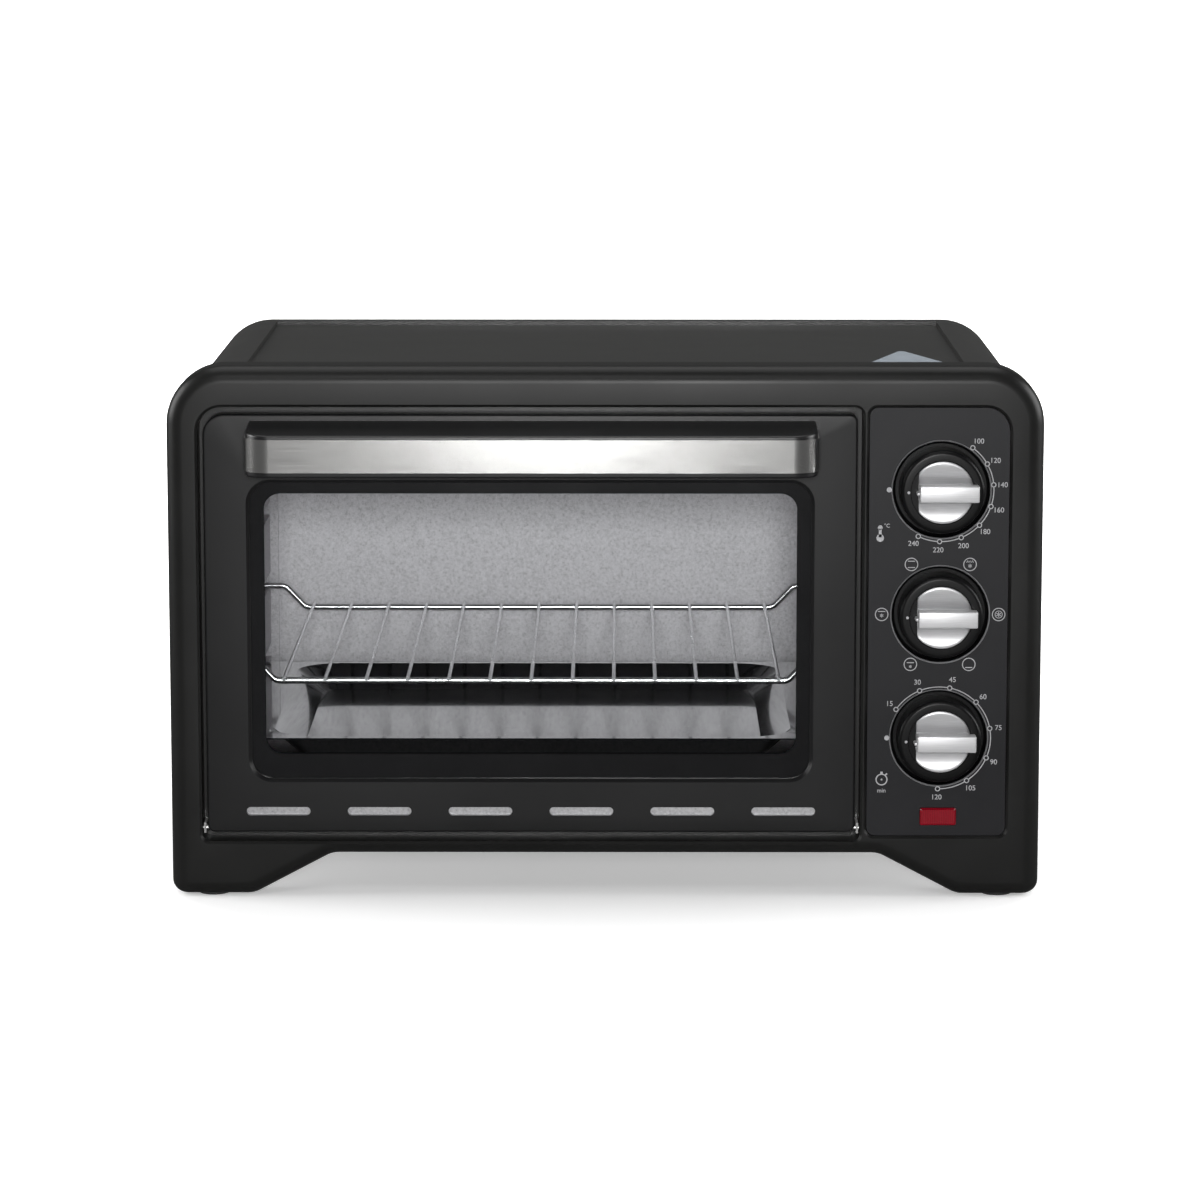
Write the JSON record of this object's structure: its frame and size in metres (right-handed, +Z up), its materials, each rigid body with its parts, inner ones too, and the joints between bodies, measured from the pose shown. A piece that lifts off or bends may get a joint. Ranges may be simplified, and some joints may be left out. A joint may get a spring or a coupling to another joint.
{
  "type": "toaster oven",
  "caption": "Countertop toaster oven with a drop-down glass door, turning control knobs, sliding wire rack and baking tray.",
  "frame": {"origin": "on the surface the oven stands on, at the centre of its overall box", "axes": "+X to the user's right, +Y to the back, +Z up"},
  "size_m": [0.464, 0.363, 0.285],
  "materials": {
    "frame_plastic": "satin",
    "cover_paint": "satin",
    "steel_sheet": "zinc",
    "cavity_steel": "aluminised",
    "liner_steel": "aluminised",
    "heater_metal": "heat tinted",
    "ceramic": "glazed",
    "panel_plastic": "satin",
    "switch_plastic": "moulded",
    "lamp_red": "gloss",
    "rubber": "matt",
    "hinge_steel": "bright",
    "label_foil": "satin",
    "screw_steel": "zinc",
    "door_plastic": "satin",
    "door_glass": "clear",
    "handle_plastic": "satin",
    "handle_steel": "brushed",
    "chrome_wire": "bright",
    "black_enamel": "gloss",
    "knob_plastic": "satin",
    "knob_cap": "satin"
  },
  "bodies": {
    "housing": {"front_frame": "frame_plastic", "outer_cover": "cover_paint", "rear_panel": "cover_paint", "base_panel": "steel_sheet", "cavity_front_plate": "cover_paint", "cavity_left_wall": "cavity_steel", "cavity_right_wall": "cavity_steel", "cavity_roof": "cavity_steel", "cavity_floor": "cavity_steel", "cavity_back": "cavity_steel", "heat_shield": "steel_sheet", "heater_upper_front": "heater_metal", "heater_upper_rear": "heater_metal", "heater_lower_front": "heater_metal", "heater_lower_rear": "heater_metal", "heater_bushings": "ceramic", "control_panel": "panel_plastic", "control_bracket": "cover_paint", "thermostat_body": "switch_plastic", "selector_body": "switch_plastic", "timer_body": "steel_sheet", "timer_bell": "steel_sheet", "terminal_block": "ceramic", "lamp_lens": "lamp_red", "lamp_holder": "switch_plastic", "rear_feet": "frame_plastic", "foot_pads": "rubber", "rear_spacers": "frame_plastic", "cord_gland": "frame_plastic", "hinge_lugs": "hinge_steel", "top_label": "label_foil", "rear_screws": "screw_steel", "base_screws": "screw_steel", "frame_screws": "screw_steel"},
    "door": {"door_panel": "door_plastic", "door_glass": "door_glass", "door_liner": "liner_steel", "handle_bar": "handle_plastic", "handle_trim": "handle_steel", "handle_screws": "screw_steel", "hinge_pins": "hinge_steel", "door_stay": "hinge_steel"},
    "rack": {"rack_frame": "chrome_wire", "rack_wires": "chrome_wire"},
    "tray": {"baking_tray": "black_enamel"},
    "timer_dial": {"timer_knob": "knob_plastic", "timer_cap": "knob_cap", "timer_shaft": "screw_steel"},
    "selector_dial": {"selector_knob": "knob_plastic", "selector_cap": "knob_cap", "selector_shaft": "screw_steel"},
    "thermostat_dial": {"thermostat_knob": "knob_plastic", "thermostat_cap": "knob_cap", "thermostat_shaft": "screw_steel"}
  },
  "joints": [
    {"name": "door_hinge", "type": "hinge", "parent": "housing", "child": "door", "pos_m": [0, -0.1395, 0.0367], "axis": [1, 0, 0], "range_deg": [0, 86]},
    {"name": "rack_slide", "type": "slide", "parent": "housing", "child": "rack", "axis": [0, -1, 0], "range_m": [0, 0.1]},
    {"name": "tray_slide", "type": "slide", "parent": "housing", "child": "tray", "axis": [0, -1, 0], "range_m": [0, 0.076]},
    {"name": "thermostat_turn", "type": "hinge", "parent": "housing", "child": "thermostat_dial", "pos_m": [0.1776, -0.15, 0.2198], "axis": [0, 1, 0], "range_deg": [0, 296]},
    {"name": "selector_turn", "type": "hinge", "parent": "housing", "child": "selector_dial", "pos_m": [0.1776, -0.15, 0.15315], "axis": [0, 1, 0], "range_deg": [0, 300]},
    {"name": "timer_turn", "type": "hinge", "parent": "housing", "child": "timer_dial", "pos_m": [0.1776, -0.15, 0.0865], "axis": [0, 1, 0], "range_deg": [0, 272]}
  ],
  "couplings": [
    {"joint": "rack_slide", "follows": "door_hinge", "m_per_rad": 0.066},
    {"joint": "tray_slide", "follows": "door_hinge", "m_per_rad": 0.05}
  ]
}
